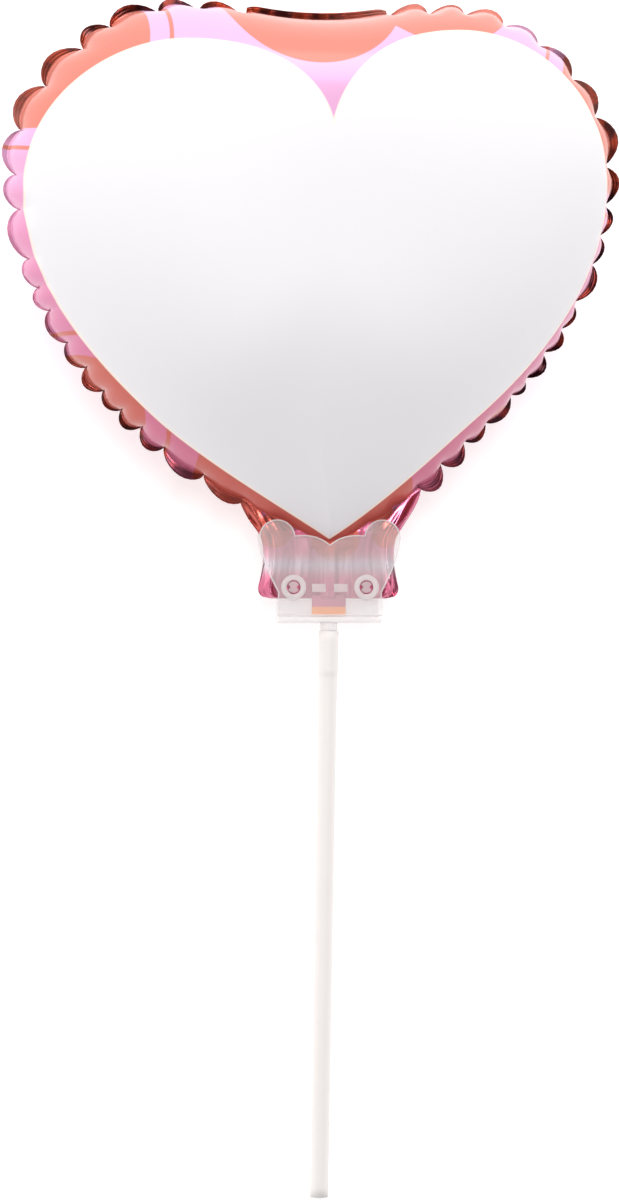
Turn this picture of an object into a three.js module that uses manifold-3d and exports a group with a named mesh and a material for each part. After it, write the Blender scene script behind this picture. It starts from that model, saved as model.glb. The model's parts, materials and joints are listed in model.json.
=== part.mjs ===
// A heart-shaped foil balloon on a straw stick, lying on its back.
//
// Every piece is drawn in the balloon's own frame, in millimetres: x across the heart, y up the
// stick to the top of the heart, z out of the front panel. The origin is the middle of the clip's
// underside. A pose group then tips that frame on to the floor, so that the back of the heart
// and the free end of the straw both touch z = 0.

import * as THREE from 'three';
import { mergeVertices } from 'three/addons/utils/BufferGeometryUtils.js';
import { RoundedBoxGeometry } from 'three/addons/geometries/RoundedBoxGeometry.js';
import Module from 'manifold-3d';

// The heart's weld line, where the two foil panels meet
const HALF_WIDTH = 89.2;
const WIDEST_Y = 132;
const HEART_TOP = 180.5;
const LOBE_X = 40;
const NOTCH_DROP = 4;
const NOTCH_HALF = 22;
const TIP_Y = 23;
const SIDE_PULL = 42;
const TIP_PULL = new THREE.Vector2(54, 47);
const ROUND = 0.5;
const NOTCH_PULL = 0.4;
const LOBE_PULL = 0.55;

// Inflation: half the thickness, and where the balloon is thickest
const HALF_THICK = 40;
const THICKEST = new THREE.Vector2(0, 114);
const EDGE_POWER = 0.5;
const TIP_POWER = 1;
const TIP_SPREAD = 0.42;
const MIDDLE_R = 74;
const OUTLINE_POWER = 3;
const SECTION_POWER = 2 / 3;
const LEAST_COS = 1e-6;

// The heart sits a little to one side of the stick, by a shift that eases in above the tip,
// and leans back by a degree
const HEART_SHIFT = -7;
const SHIFT_FULL_Y = 60;
const HEART_LEAN = THREE.MathUtils.degToRad(1.2);

// Puckers along the weld, which come close together low on the heart
const PITCH_WIDE = 13.2;
const PITCH_DIP = 5;
const DIP_AT = 0.66;
const DIP_SPAN = 0.14;
const PITCH_JITTER = 0.25;
const LEFT_SEED = 1191;
const RIGHT_SEED = 579;
const CREASE_DEPTH = 2.4;
const CREASE_JITTER = 0.35;
const CREASE_START = 1.02;
const CREASE_FADE = 1.5;
const LOBE_ROUNDNESS = 0.6;
const LOBE_PHASES = [0, 0.2, 0.5, 0.8];
const NOTCH_PHASES = [0, 0.55];

// The weld flange outside the weld line: a half moon on each lobe, a plain strip at the notch
const FLANGE_RATIO = 0.23;
const FLANGE_JITTER = 0.25;
const FLANGE_LEAST = 0.5;
const FLANGE_NOTCH = 2.9;
const FLANGE_THICK = 0.5;
const FLANGE_DROOP = 0.35;

// Rings of the skin from the pole to the weld, as angles of the inflated section
const SKIN_RINGS = [0.3, 0.6, 0.88, 1.1, 1.28, 1.44];

// The flat tail below the heart and the filling neck at its end
const TAIL_THICK = 0.7;
const TAIL_TOP = { half: 11, y: 42 };
const TAIL_SHOULDER = { half: 22.5, y: 34 };
const TAIL_BEND = { half: 18.9, y: 28 };
const TAIL_WAIST = { half: 19.2, y: 20 };
const TAIL_CORNER = { half: 20.7, y: 10.4 };
const TAIL_HEM_Y = 7.2;
const TAIL_CORNER_R = 4;
const NECK_HALF = 5;
const NECK_END = 2.3;

// The clear snap clip: two plates, ears, eyelets, windows and the base bar
const PLATE_THICK = 1.2;
const PLATE_INNER = 1.2;
const CLIP_LOW_HALF = 15.4;
const CLIP_LOW_TOP = 9;
const EAR_R = 5.4;
const EAR = new THREE.Vector2(15.6, 25);
const EAR_OUTER_ANGLE = THREE.MathUtils.degToRad(195);
const EAR_INNER_ANGLE = THREE.MathUtils.degToRad(7.4);
const CLIP_SIDE_PULL = new THREE.Vector2(20, 17.5);
const CLIP_V_Y = 23;
const CLIP_HUMP_PULL = new THREE.Vector2(4, 26.5);
const BASE_HEIGHT = 1.8;
const BASE_DEPTH = 5.8;
const BASE_ROUND = 0.7;
const SNAP = new THREE.Vector2(10.8, 10.5);
const EYELET_R = 3.7;
const EYELET_RISE = 0.5;
const EYELET_HOLE_R = 2.05;
const PIN_R = 1.7;
const PIN_NOTCH_HALF = 0.75;
const PIN_NOTCH_BOTTOM = 0.85;
const ROOT_DEPTH = 0.4;
const WINDOW = { from: 1.2, to: 5.3, low: 9.1, high: 11.5 };

// The spigot under the clip and the straw pushed over it
const COLLAR_R = 2.5;
const COLLAR_LENGTH = 2.3;
const SHANK_R = 2.2;
const SHANK_END = -14;
const SHANK_CHAMFER = 0.6;
const STRAW_R = 2.73;
const STRAW_WALL = 0.38;
const STRAW_TOP = -2.6;
const STRAW_END = -168.5;
const SLEEVE_R = 2.95;
const SLEEVE_LENGTH = 11.7;
const SLEEVE_TAPER = 2;
const STRAW_LEAN = THREE.MathUtils.degToRad(-1);
const STRAW_SIDES = 24;

// Rest: how far the floor cuts into the back at its thickest point
const REST_CUT = 1;
const FLOOR_SIZE = 400;
const FLOOR_DEPTH = 60;
const FIT_GAP = 0.3;
const ARC_STEPS = 10;
const MERGE_GAP = 1e-4;

const wasm = await Module();
wasm.setup();

// Closed three.js geometry to a solid that can be joined and cut
function toSolid(geometry) {
  const bare = geometry.clone();
  for (const name of Object.keys(bare.attributes)) {
    if (name !== 'position') bare.deleteAttribute(name);
  }
  const merged = mergeVertices(bare, MERGE_GAP);
  return new wasm.Manifold(new wasm.Mesh({
    numProp: 3,
    vertProperties: new Float32Array(merged.attributes.position.array),
    triVerts: new Uint32Array(merged.index.array),
  }));
}

function toGeometry(solid) {
  const mesh = solid.getMesh();
  const geometry = new THREE.BufferGeometry();
  geometry.setAttribute('position', new THREE.Float32BufferAttribute(mesh.vertProperties, 3));
  geometry.setIndex(new THREE.Uint32BufferAttribute(mesh.triVerts, 1));
  geometry.computeVertexNormals();
  return geometry;
}

function joined(geometries) {
  return geometries.map(toSolid).reduce((sum, solid) => sum.add(solid));
}

// A flat plate of one outline between two heights
function plate(shape, low, high) {
  const options = { depth: high - low, bevelEnabled: false, curveSegments: ARC_STEPS };
  return new THREE.ExtrudeGeometry(shape, options).translate(0, 0, low);
}

// Half of the weld line, from the middle of the notch round one lobe to the tip
function weldHalf() {
  const notchY = HEART_TOP - NOTCH_DROP;
  const path = new THREE.Path();
  path.moveTo(0, notchY);
  path.bezierCurveTo(LOBE_X * NOTCH_PULL, notchY, LOBE_X * LOBE_PULL, HEART_TOP, LOBE_X, HEART_TOP);
  path.bezierCurveTo(
    LOBE_X + ROUND * (HALF_WIDTH - LOBE_X), HEART_TOP,
    HALF_WIDTH, WIDEST_Y + ROUND * (HEART_TOP - WIDEST_Y),
    HALF_WIDTH, WIDEST_Y,
  );
  path.bezierCurveTo(HALF_WIDTH, WIDEST_Y - SIDE_PULL, TIP_PULL.x, TIP_PULL.y, 0, TIP_Y);
  return path;
}

const WELD = weldHalf();
const WELD_LENGTH = WELD.getLength();

// A repeatable number from -1 to 1 for the unevenness of pucker i: the fraction of a large sine
const JITTER = { step: 12.9898, seed: 78.233, size: 43758.5453 };

function jitter(i, seed) {
  const wave = Math.sin(i * JITTER.step + seed * JITTER.seed) * JITTER.size;
  return 2 * (wave - Math.floor(wave)) - 1;
}

// Creases of one side, as shares of the half weld line from the notch to the tip
function creaseShares(seed) {
  const start = NOTCH_HALF / WELD_LENGTH;
  const steps = [start];
  while (steps.at(-1) < 1) {
    const w = steps.at(-1);
    const close = Math.exp(-(((w - DIP_AT) / DIP_SPAN) ** 2));
    const pitch = (PITCH_WIDE - PITCH_DIP * close) * (1 + PITCH_JITTER * jitter(steps.length, seed));
    steps.push(w + pitch / WELD_LENGTH);
  }
  const stretch = (1 - start) / (steps.at(-1) - start);
  return steps.map((w) => start + (w - start) * stretch);
}

// Columns of the skin on one side: place on the weld line, depth of fold, width of flange
function sideColumns(seed, mirror) {
  const creases = creaseShares(seed);
  const depths = creases.map((w, i) => CREASE_DEPTH * (1 + CREASE_JITTER * jitter(i, seed + 5)));
  const place = (w) => {
    const p = WELD.getPoint(w);
    return new THREE.Vector2(mirror * p.x, p.y);
  };
  const columns = NOTCH_PHASES.map((t) => (
    { at: place(t * creases[0]), fold: 0, flange: FLANGE_NOTCH }
  ));
  for (let i = 0; i + 1 < creases.length; i += 1) {
    const uneven = 1 + FLANGE_JITTER * jitter(i, seed + 7);
    const moon = FLANGE_RATIO * uneven * (creases[i + 1] - creases[i]) * WELD_LENGTH;
    for (const phase of LOBE_PHASES) {
      const round = Math.sin(Math.PI * phase) ** LOBE_ROUNDNESS;
      const depth = phase < 0.5 ? depths[i] : depths[i + 1];
      columns.push({
        at: place(THREE.MathUtils.lerp(creases[i], creases[i + 1], phase)),
        fold: depth * (1 - round),
        flange: FLANGE_LEAST + (moon - FLANGE_LEAST) * round,
      });
    }
  }
  return columns;
}

// All columns once round the heart, anticlockwise seen from the front
function rimColumns() {
  const left = sideColumns(LEFT_SEED, -1);
  const right = sideColumns(RIGHT_SEED, 1);
  const tip = { at: new THREE.Vector2(0, TIP_Y), fold: 0, flange: FLANGE_LEAST };
  return [...left, tip, ...right.slice(1).reverse()];
}

// How near a direction from the middle is to the tip: 1 at the tip, 0 well away from it
function nearTip(out) {
  const angle = Math.acos(THREE.MathUtils.clamp(-out.y, -1, 1));
  return Math.exp(-((angle / TIP_SPREAD) ** 2));
}

// A point of the inflated skin. tau runs from 0 at the thickest point to a quarter turn at the
// weld. The share of the way out is sin(tau)^(2/3) and the height goes with cos(tau)^(2 power).
// Rings are round near the middle and become the heart's outline towards the weld.
// Near the tip the power grows, so the skin closes as a cone there and round elsewhere.
// Folds press the skin in along its normal and fade out towards the middle.
function skinPoint(column, tau, face) {
  const reach = column.at.clone().sub(THICKEST);
  const length = reach.length();
  const out = reach.normalize();
  const power = EDGE_POWER + (TIP_POWER - EDGE_POWER) * nearTip(out);
  const s = Math.sin(tau);
  const c = Math.max(Math.cos(tau), LEAST_COS);
  const share = s ** SECTION_POWER;
  const heart = (length - MIDDLE_R) * share ** OUTLINE_POWER;
  const radius = share * (MIDDLE_R + heart);
  const height = HALF_THICK * c ** (2 * power);
  const steep = 2 * power * HALF_THICK * c ** (2 * power - 1) * s;
  const level = (MIDDLE_R + (OUTLINE_POWER + 1) * heart) * SECTION_POWER * s ** (SECTION_POWER - 1) * c;
  const normal = new THREE.Vector2(steep, level).normalize();
  const fade = THREE.MathUtils.clamp((tau - CREASE_START) / (Math.PI / 2 - CREASE_START), 0, 1);
  const press = column.fold * fade ** CREASE_FADE;
  const r = radius - press * normal.x;
  const z = Math.max(height - press * normal.y, FLANGE_THICK / 2);
  return [THICKEST.x + out.x * r, THICKEST.y + out.y * r, face * z];
}

// A point on the edge of the flange, which droops a little to the back away from the tip
function flangePoint(column, face) {
  const out = column.at.clone().sub(THICKEST).normalize();
  const p = column.at.clone().addScaledVector(out, column.flange - column.fold);
  const droop = FLANGE_DROOP * column.flange * (1 - nearTip(out));
  return [p.x, p.y, (face * FLANGE_THICK) / 2 - droop];
}

// How far the heart stands off the stick's line at a height
function sideways(y) {
  const eased = HEART_SHIFT * THREE.MathUtils.smoothstep(y, TIP_Y, SHIFT_FULL_Y);
  return eased + Math.max(y - TIP_Y, 0) * Math.tan(HEART_LEAN);
}

// The closed skin: rings from the front pole over the flange to the back pole
function heartGeometry() {
  const columns = rimColumns();
  const taus = [...SKIN_RINGS, Math.PI / 2];
  const rings = [
    ...taus.map((tau) => columns.map((column) => skinPoint(column, tau, 1))),
    columns.map((column) => flangePoint(column, 1)),
    columns.map((column) => flangePoint(column, -1)),
    ...taus.reverse().map((tau) => columns.map((column) => skinPoint(column, tau, -1))),
  ];
  const n = columns.length;
  const front = rings.length * n;
  const back = front + 1;
  const index = [];
  for (let j = 0; j < n; j += 1) {
    const k = (j + 1) % n;
    index.push(front, j, k);
    for (let i = 0; i + 1 < rings.length; i += 1) {
      index.push(i * n + j, (i + 1) * n + j, (i + 1) * n + k);
      index.push(i * n + j, (i + 1) * n + k, i * n + k);
    }
    index.push(front - n + j, back, front - n + k);
  }
  const poles = [
    [THICKEST.x, THICKEST.y, HALF_THICK],
    [THICKEST.x, THICKEST.y, -HALF_THICK],
  ];
  const positions = [...rings.flat(), ...poles].flatMap(([x, y, z]) => [x + sideways(y), y, z]);
  const geometry = new THREE.BufferGeometry();
  geometry.setAttribute('position', new THREE.Float32BufferAttribute(positions, 3));
  geometry.setIndex(index);
  return geometry;
}

// The flat tail: shoulders under the heart, a waist, a hem with round corners, the filling neck
function tailGeometry() {
  const hemEnd = TAIL_CORNER.half - TAIL_CORNER_R;
  const shape = new THREE.Shape();
  shape.moveTo(-NECK_HALF, NECK_END);
  shape.lineTo(NECK_HALF, NECK_END);
  shape.lineTo(NECK_HALF, TAIL_HEM_Y);
  shape.lineTo(hemEnd, TAIL_HEM_Y);
  shape.quadraticCurveTo(TAIL_CORNER.half, TAIL_HEM_Y, TAIL_CORNER.half, TAIL_CORNER.y);
  shape.lineTo(TAIL_WAIST.half, TAIL_WAIST.y);
  shape.quadraticCurveTo(TAIL_BEND.half, TAIL_BEND.y, TAIL_SHOULDER.half, TAIL_SHOULDER.y);
  shape.lineTo(TAIL_TOP.half, TAIL_TOP.y);
  shape.lineTo(-TAIL_TOP.half, TAIL_TOP.y);
  shape.lineTo(-TAIL_SHOULDER.half, TAIL_SHOULDER.y);
  shape.quadraticCurveTo(-TAIL_BEND.half, TAIL_BEND.y, -TAIL_WAIST.half, TAIL_WAIST.y);
  shape.lineTo(-TAIL_CORNER.half, TAIL_CORNER.y);
  shape.quadraticCurveTo(-TAIL_CORNER.half, TAIL_HEM_Y, -hemEnd, TAIL_HEM_Y);
  shape.lineTo(-NECK_HALF, TAIL_HEM_Y);
  shape.closePath();
  return plate(shape, -TAIL_THICK / 2, TAIL_THICK / 2);
}

// A round bar along z at one of the two snaps
function snapBar(side, radius, low, high) {
  const bar = new THREE.CylinderGeometry(radius, radius, high - low, STRAW_SIDES);
  return bar.rotateX(Math.PI / 2).translate(side * SNAP.x, SNAP.y, (low + high) / 2);
}

// The heart with its tail, pierced by the clip's pins and flat where it rests
function balloonGeometry(pose) {
  const holeR = PIN_R + FIT_GAP;
  const holes = [-1, 1].map((side) => snapBar(side, holeR, -PLATE_INNER, PLATE_INNER));
  const floor = new THREE.BoxGeometry(FLOOR_SIZE, FLOOR_SIZE, FLOOR_DEPTH).translate(0, 0, -FLOOR_DEPTH / 2);
  floor.applyMatrix4(pose.matrix.clone().invert());
  const whole = joined([heartGeometry(), tailGeometry()]);
  return toGeometry(whole.subtract(joined(holes)).subtract(toSolid(floor)));
}

// The clip's outline from a given foot: straight low sides, round ears, two humps and a V
function clipShape(foot) {
  const shape = new THREE.Shape();
  const earFoot = new THREE.Vector2(Math.cos(EAR_OUTER_ANGLE), Math.sin(EAR_OUTER_ANGLE))
    .multiplyScalar(EAR_R);
  shape.moveTo(CLIP_LOW_HALF, foot);
  shape.lineTo(CLIP_LOW_HALF, CLIP_LOW_TOP);
  shape.quadraticCurveTo(CLIP_SIDE_PULL.x, CLIP_SIDE_PULL.y, EAR.x - earFoot.x, EAR.y + earFoot.y);
  shape.absarc(EAR.x, EAR.y, EAR_R, Math.PI - EAR_OUTER_ANGLE, Math.PI - EAR_INNER_ANGLE, false);
  shape.quadraticCurveTo(CLIP_HUMP_PULL.x, CLIP_HUMP_PULL.y, 0, CLIP_V_Y);
  shape.quadraticCurveTo(
    -CLIP_HUMP_PULL.x, CLIP_HUMP_PULL.y,
    EAR_R * Math.cos(EAR_INNER_ANGLE) - EAR.x, EAR.y + EAR_R * Math.sin(EAR_INNER_ANGLE),
  );
  shape.absarc(-EAR.x, EAR.y, EAR_R, EAR_INNER_ANGLE, EAR_OUTER_ANGLE, false);
  shape.quadraticCurveTo(-CLIP_SIDE_PULL.x, CLIP_SIDE_PULL.y, -CLIP_LOW_HALF, CLIP_LOW_TOP);
  shape.lineTo(-CLIP_LOW_HALF, foot);
  shape.closePath();
  return shape;
}

// The front plate, with a raised eyelet round each snap and two windows between them
function frontPlateGeometry() {
  const outer = PLATE_INNER + PLATE_THICK;
  const sides = [-1, 1];
  const body = plate(clipShape(BASE_HEIGHT + FIT_GAP), PLATE_INNER, outer);
  const eyelets = sides.map((side) => snapBar(side, EYELET_R, outer - ROOT_DEPTH, outer + EYELET_RISE));
  const holes = sides.map((side) => snapBar(side, EYELET_HOLE_R, 0, 2 * outer));
  const windows = sides.map((side) => {
    const middle = (WINDOW.from + WINDOW.to) / 2;
    const box = new THREE.BoxGeometry(WINDOW.to - WINDOW.from, WINDOW.high - WINDOW.low, 2 * outer);
    return box.translate(side * middle, (WINDOW.low + WINDOW.high) / 2, outer);
  });
  return toGeometry(joined([body, ...eyelets]).subtract(joined([...holes, ...windows])));
}

// A snap pin's section: round, with a wedge cut from its left and right
function pinShape() {
  const open = Math.asin(PIN_NOTCH_HALF / PIN_R);
  const shape = new THREE.Shape();
  shape.absarc(0, 0, PIN_R, open, Math.PI - open, false);
  shape.lineTo(-PIN_NOTCH_BOTTOM, 0);
  shape.absarc(0, 0, PIN_R, Math.PI + open, 2 * Math.PI - open, false);
  shape.lineTo(PIN_NOTCH_BOTTOM, 0);
  shape.closePath();
  return shape;
}

// The spigot's collar and shank, in line with the straw
function spigotGeometry() {
  const profile = [
    [0, SHANK_END], [SHANK_R - SHANK_CHAMFER, SHANK_END], [SHANK_R, SHANK_END + SHANK_CHAMFER],
    [SHANK_R, -COLLAR_LENGTH], [COLLAR_R, -COLLAR_LENGTH], [COLLAR_R, BASE_HEIGHT / 2],
    [0, BASE_HEIGHT / 2],
  ];
  const points = profile.map(([r, y]) => new THREE.Vector2(r, y));
  return new THREE.LatheGeometry(points, STRAW_SIDES).rotateZ(STRAW_LEAN);
}

// The back plate with its pins, the base bar under both plates, and the spigot
function backPlateGeometry() {
  const outer = PLATE_INNER + PLATE_THICK;
  const body = plate(clipShape(BASE_HEIGHT / 2), -outer, -PLATE_INNER);
  const pins = [-1, 1].map((side) => (
    plate(pinShape(), -PLATE_INNER - ROOT_DEPTH, outer + EYELET_RISE / 2).translate(side * SNAP.x, SNAP.y, 0)
  ));
  const bar = new RoundedBoxGeometry(2 * CLIP_LOW_HALF, BASE_HEIGHT, BASE_DEPTH, 2, BASE_ROUND)
    .translate(0, BASE_HEIGHT / 2, 0);
  return toGeometry(joined([body, ...pins, bar, spigotGeometry()]));
}

// The straw: a thin open tube, swollen where it covers the spigot
function strawGeometry() {
  const sleeveEnd = STRAW_TOP - SLEEVE_LENGTH;
  const outside = [
    [STRAW_R, STRAW_END], [STRAW_R, sleeveEnd - SLEEVE_TAPER],
    [SLEEVE_R, sleeveEnd], [SLEEVE_R, STRAW_TOP],
  ];
  const inside = outside.map(([r, y]) => [r - STRAW_WALL, y]).reverse();
  const profile = [...outside, ...inside, outside[0]];
  const points = profile.map(([r, y]) => new THREE.Vector2(r, y));
  return new THREE.LatheGeometry(points, STRAW_SIDES)
    .translate(0, -STRAW_TOP, 0)
    .rotateZ(STRAW_LEAN)
    .translate(0, STRAW_TOP, 0);
}

// The pose: tipped so that the floor meets the straw's end and the cut back
function restPose() {
  const drop = HALF_THICK - REST_CUT - STRAW_R;
  const tilt = Math.atan2(drop, THICKEST.y - STRAW_END);
  const pose = new THREE.Group();
  pose.rotation.x = tilt;
  pose.position.z = STRAW_R * Math.cos(tilt) - STRAW_END * Math.sin(tilt);
  pose.updateMatrix();
  return pose;
}

function piece(name, geometry, color, roughness, metalness) {
  const mesh = new THREE.Mesh(geometry, new THREE.MeshStandardMaterial({ color, roughness, metalness }));
  mesh.name = name;
  return mesh;
}

const pose = restPose();
pose.add(
  piece('foil_balloon', balloonGeometry(pose), 0xf0b4c8, 0.25, 0.6),
  piece('clip_front_plate', frontPlateGeometry(), 0xe9e6e2, 0.15, 0),
  piece('clip_back_plate', backPlateGeometry(), 0xe9e6e2, 0.15, 0),
  piece('straw_stick', strawGeometry(), 0xf6f1ee, 0.4, 0),
);

// The origin is the bottom centre of the whole lying balloon
const balloon = new THREE.Group();
balloon.add(pose);
balloon.updateMatrixWorld(true);
const middle = new THREE.Box3().setFromObject(balloon, true).getCenter(new THREE.Vector3());
pose.position.x -= middle.x;
pose.position.y -= middle.y;

export default balloon;
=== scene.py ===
# %% [markdown]
# # A heart-shaped foil balloon on a straw stick
#
# The object is a small air-filled balloon: two heart-shaped films welded along their rim, a flat
# tail pinched in a clear snap clip, and a white straw pushed on the clip's spigot. It can't stand,
# so it lies on its back, and the camera looks down on it as if it were held upright.
#
# This lesson builds every visible surface with numpy. A shape is a formula over a grid of two
# numbers, worked out for the whole grid at once and then handed to Blender as a mesh.

# %% Load the fixed frame
import json
import math

import bmesh
import bpy
import numpy as np
from mathutils import Matrix, Vector

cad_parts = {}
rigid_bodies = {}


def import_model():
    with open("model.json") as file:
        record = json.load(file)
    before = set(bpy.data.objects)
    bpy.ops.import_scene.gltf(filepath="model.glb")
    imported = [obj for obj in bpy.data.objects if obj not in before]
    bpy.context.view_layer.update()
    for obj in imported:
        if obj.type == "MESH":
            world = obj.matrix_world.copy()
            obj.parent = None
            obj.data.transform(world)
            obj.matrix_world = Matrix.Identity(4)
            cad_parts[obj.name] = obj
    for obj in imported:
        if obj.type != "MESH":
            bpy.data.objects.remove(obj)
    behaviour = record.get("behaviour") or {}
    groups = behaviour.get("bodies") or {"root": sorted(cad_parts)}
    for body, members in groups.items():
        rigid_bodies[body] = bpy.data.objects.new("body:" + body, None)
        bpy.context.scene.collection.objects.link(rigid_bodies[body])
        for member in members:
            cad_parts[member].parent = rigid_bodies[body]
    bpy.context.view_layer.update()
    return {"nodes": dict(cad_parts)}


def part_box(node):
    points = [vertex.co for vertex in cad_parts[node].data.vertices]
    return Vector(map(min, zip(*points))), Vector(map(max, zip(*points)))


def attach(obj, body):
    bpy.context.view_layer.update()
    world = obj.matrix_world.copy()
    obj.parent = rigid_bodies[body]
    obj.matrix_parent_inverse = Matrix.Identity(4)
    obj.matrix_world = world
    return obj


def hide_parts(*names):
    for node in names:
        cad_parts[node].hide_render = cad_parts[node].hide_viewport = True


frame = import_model()
print("solids:", sorted(frame["nodes"]))

# %% [markdown]
# ## The balloon's own frame
#
# Shapes are easiest to write where the balloon stands upright: x across the heart, y up the stick,
# z out of the front, in millimetres, with zero under the middle of the clip. The real part lies
# tipped, so one function turns such points into Blender's metres. The tilt comes from the sizes
# that rest on the floor, and the place comes from the clip's solid in the frame.

# %% From the balloon's frame to Blender's
HALF_THICK = 40.0
THICKEST_Y = 114.0
REST_CUT = 1.0
STRAW_R = 2.73
STRAW_END = -168.5
PLATE_FOOT = 2.1
PLATE_FRONT = 2.4
MM = 0.001

tilt = math.atan2(HALF_THICK - REST_CUT - STRAW_R, THICKEST_Y - STRAW_END)
cos_tilt, sin_tilt = math.cos(tilt), math.sin(tilt)
TURN = np.array([[1, 0, 0], [0, cos_tilt, -sin_tilt], [0, sin_tilt, cos_tilt]])
plate_low, plate_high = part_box("clip_front_plate")
PLACE = np.array([
    (plate_low[0] + plate_high[0]) / 2 / MM,
    plate_low[1] / MM - (PLATE_FOOT * cos_tilt - PLATE_FRONT * sin_tilt),
    STRAW_R * cos_tilt - STRAW_END * sin_tilt,
])


def to_world(points):
    """Turn points of the balloon's frame by the tilt, move them to their place, give metres."""
    return (np.asarray(points, float) @ TURN.T + PLACE) * MM


print("tilt, degrees:", round(math.degrees(tilt), 2), " place, mm:", PLACE.round(2))

# %% [markdown]
# ## Camera
#
# The photograph sees the front almost square on, turned a little to the left, with a long lens.
# The camera is placed in the balloon's frame: one pixel is a known size at the middle plane, so
# the field of view follows from the distance, and the point that the picture is centred on too.

# %% Camera over the lying balloon
FRAME_W, FRAME_H = 619, 1200
STICK_PX, CLIP_FOOT_PX = 329, 623
MM_PER_PX = 0.2935
CAMERA_FAR = 1500.0
CAMERA_YAW = math.radians(8.5)
SENSOR = 36.0


def place_camera():
    """Axes of the camera in the balloon's frame, turned with it, looking back at the middle."""
    look = np.array([(FRAME_W / 2 - STICK_PX) * MM_PER_PX, (CLIP_FOOT_PX - FRAME_H / 2) * MM_PER_PX, 0])
    back = np.array([-math.sin(CAMERA_YAW), 0, math.cos(CAMERA_YAW)])
    right = np.array([math.cos(CAMERA_YAW), 0, math.sin(CAMERA_YAW)])
    axes = TURN @ np.stack([right, [0, 1, 0], back], axis=1)
    matrix = np.eye(4)
    matrix[:3, :3] = axes
    matrix[:3, 3] = to_world(look + CAMERA_FAR * back)
    data = bpy.data.cameras.new("photo_camera")
    data.sensor_width = SENSOR
    data.lens = SENSOR * CAMERA_FAR / (FRAME_H * MM_PER_PX)
    camera = bpy.data.objects.new("photo_camera", data)
    camera.matrix_world = Matrix(matrix.tolist())
    bpy.context.collection.objects.link(camera)
    bpy.context.scene.camera = camera
    return camera


camera = place_camera()
print("lens, mm:", round(camera.data.lens, 1))

# %% [markdown]
# ## Helpers for meshes
#
# Most pieces are bands: rings of points, one after another, where each ring closes on itself.
# The faces between the rings are the same sum of indices everywhere, so numpy can write them all
# at once. Blender then gets plain lists.

# %% Bands, joins and objects


def band_faces(rings, columns, start=0, closed=True):
    """Quads between ring i and i+1 and column j and j+1, wrapping round when closed."""
    steps = columns if closed else columns - 1
    i = start + np.arange(rings - 1)[:, None] * columns
    j = np.arange(steps)[None, :]
    k = (j + 1) % columns
    return np.stack([i + j, i + columns + j, i + columns + k, i + k], axis=-1).reshape(-1, 4)


def fan_faces(centre, ring_start, columns, flip=False):
    """Triangles from one centre point to each step of a ring."""
    j = np.arange(columns)
    k = (j + 1) % columns
    pair = (k, j) if flip else (j, k)
    return np.stack([np.full(columns, centre), ring_start + pair[0], ring_start + pair[1]], axis=-1)


def join_parts(parts):
    """Stack the points of several (points, faces) parts and shift their face indices to match."""
    points, faces, shift = [], [], 0
    for part_points, part_faces in parts:
        points.append(np.asarray(part_points, float))
        faces += [[index + shift for index in face] for face in part_faces]
        shift += len(part_points)
    return np.concatenate(points), faces


def add_piece(name, points, faces, material, replaced=None, slot=None):
    """Make a smooth mesh object at the origin from points in the balloon's frame."""
    mesh = bpy.data.meshes.new(name)
    mesh.from_pydata(to_world(points).tolist(), [], [list(map(int, face)) for face in faces])
    mesh.materials.append(material)
    mesh.shade_smooth()
    mesh.update()
    piece = bpy.data.objects.new(name, mesh)
    bpy.context.collection.objects.link(piece)
    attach(piece, "root")
    if replaced:
        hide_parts(replaced)
    print(name, "points:", len(mesh.vertices), "faces:", len(mesh.polygons))
    return piece


print("mesh helpers ready")

# %% [markdown]
# ## Helpers for materials
#
# A material here is a small graph of nodes. These helpers add a node and set its inputs in one
# line: a plain value goes straight on the socket, and a socket from another node is linked.

# %% Node helpers


def set_input(tree, node, name, value):
    """Link a socket, or set a plain value on the input."""
    socket = node.inputs[name]
    if isinstance(value, bpy.types.NodeSocket):
        tree.links.new(value, socket)
    else:
        socket.default_value = value


def add_node(tree, kind, inputs=None, **settings):
    """A node of one kind with its settings and inputs."""
    node = tree.nodes.new(kind)
    for key, value in settings.items():
        setattr(node, key, value)
    for name, value in (inputs or {}).items():
        set_input(tree, node, name, value)
    return node


def map_range(tree, value, source, target, easing="LINEAR"):
    """Carry a value from one range to another, held at the ends."""
    limits = dict(zip(("From Min", "From Max", "To Min", "To Max"), (*source, *target)))
    inputs = {"Value": value, **limits}
    node = add_node(tree, "ShaderNodeMapRange", inputs, interpolation_type=easing)
    return node.outputs["Result"]


def ramp_mask(tree, value, low, high):
    """0 below low, 1 above high, smooth between."""
    return map_range(tree, value, (low, high), (0.0, 1.0), "SMOOTHSTEP")


def mix_colour(tree, mask, low, high, blend="MIX"):
    """low where the mask is 0, high where it is 1, or low times high for a MULTIPLY blend."""
    node = add_node(tree, "ShaderNodeMix", data_type="RGBA", blend_type=blend)
    for index, value in ((0, mask), (6, low), (7, high)):
        set_input(tree, node, index, value)
    return node.outputs[2]


def mix_value(tree, mask, low, high):
    """A number that goes from low to high with the mask."""
    return map_range(tree, mask, (0.0, 1.0), (low, high))


def srgb(red, green, blue):
    """A colour as it is read off a screen, 0 to 255, made linear for the shader."""
    channel = np.array([red, green, blue]) / 255
    linear = np.where(channel <= 0.04045, channel / 12.92, ((channel + 0.055) / 1.055) ** 2.4)
    return (*linear.tolist(), 1.0)


def new_material(name):
    """An empty material with its Principled shader and the tree around it."""
    material = bpy.data.materials.new(name)
    material.use_nodes = True
    tree = material.node_tree
    return material, tree, tree.nodes["Principled BSDF"]


print("node helpers ready")

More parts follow.
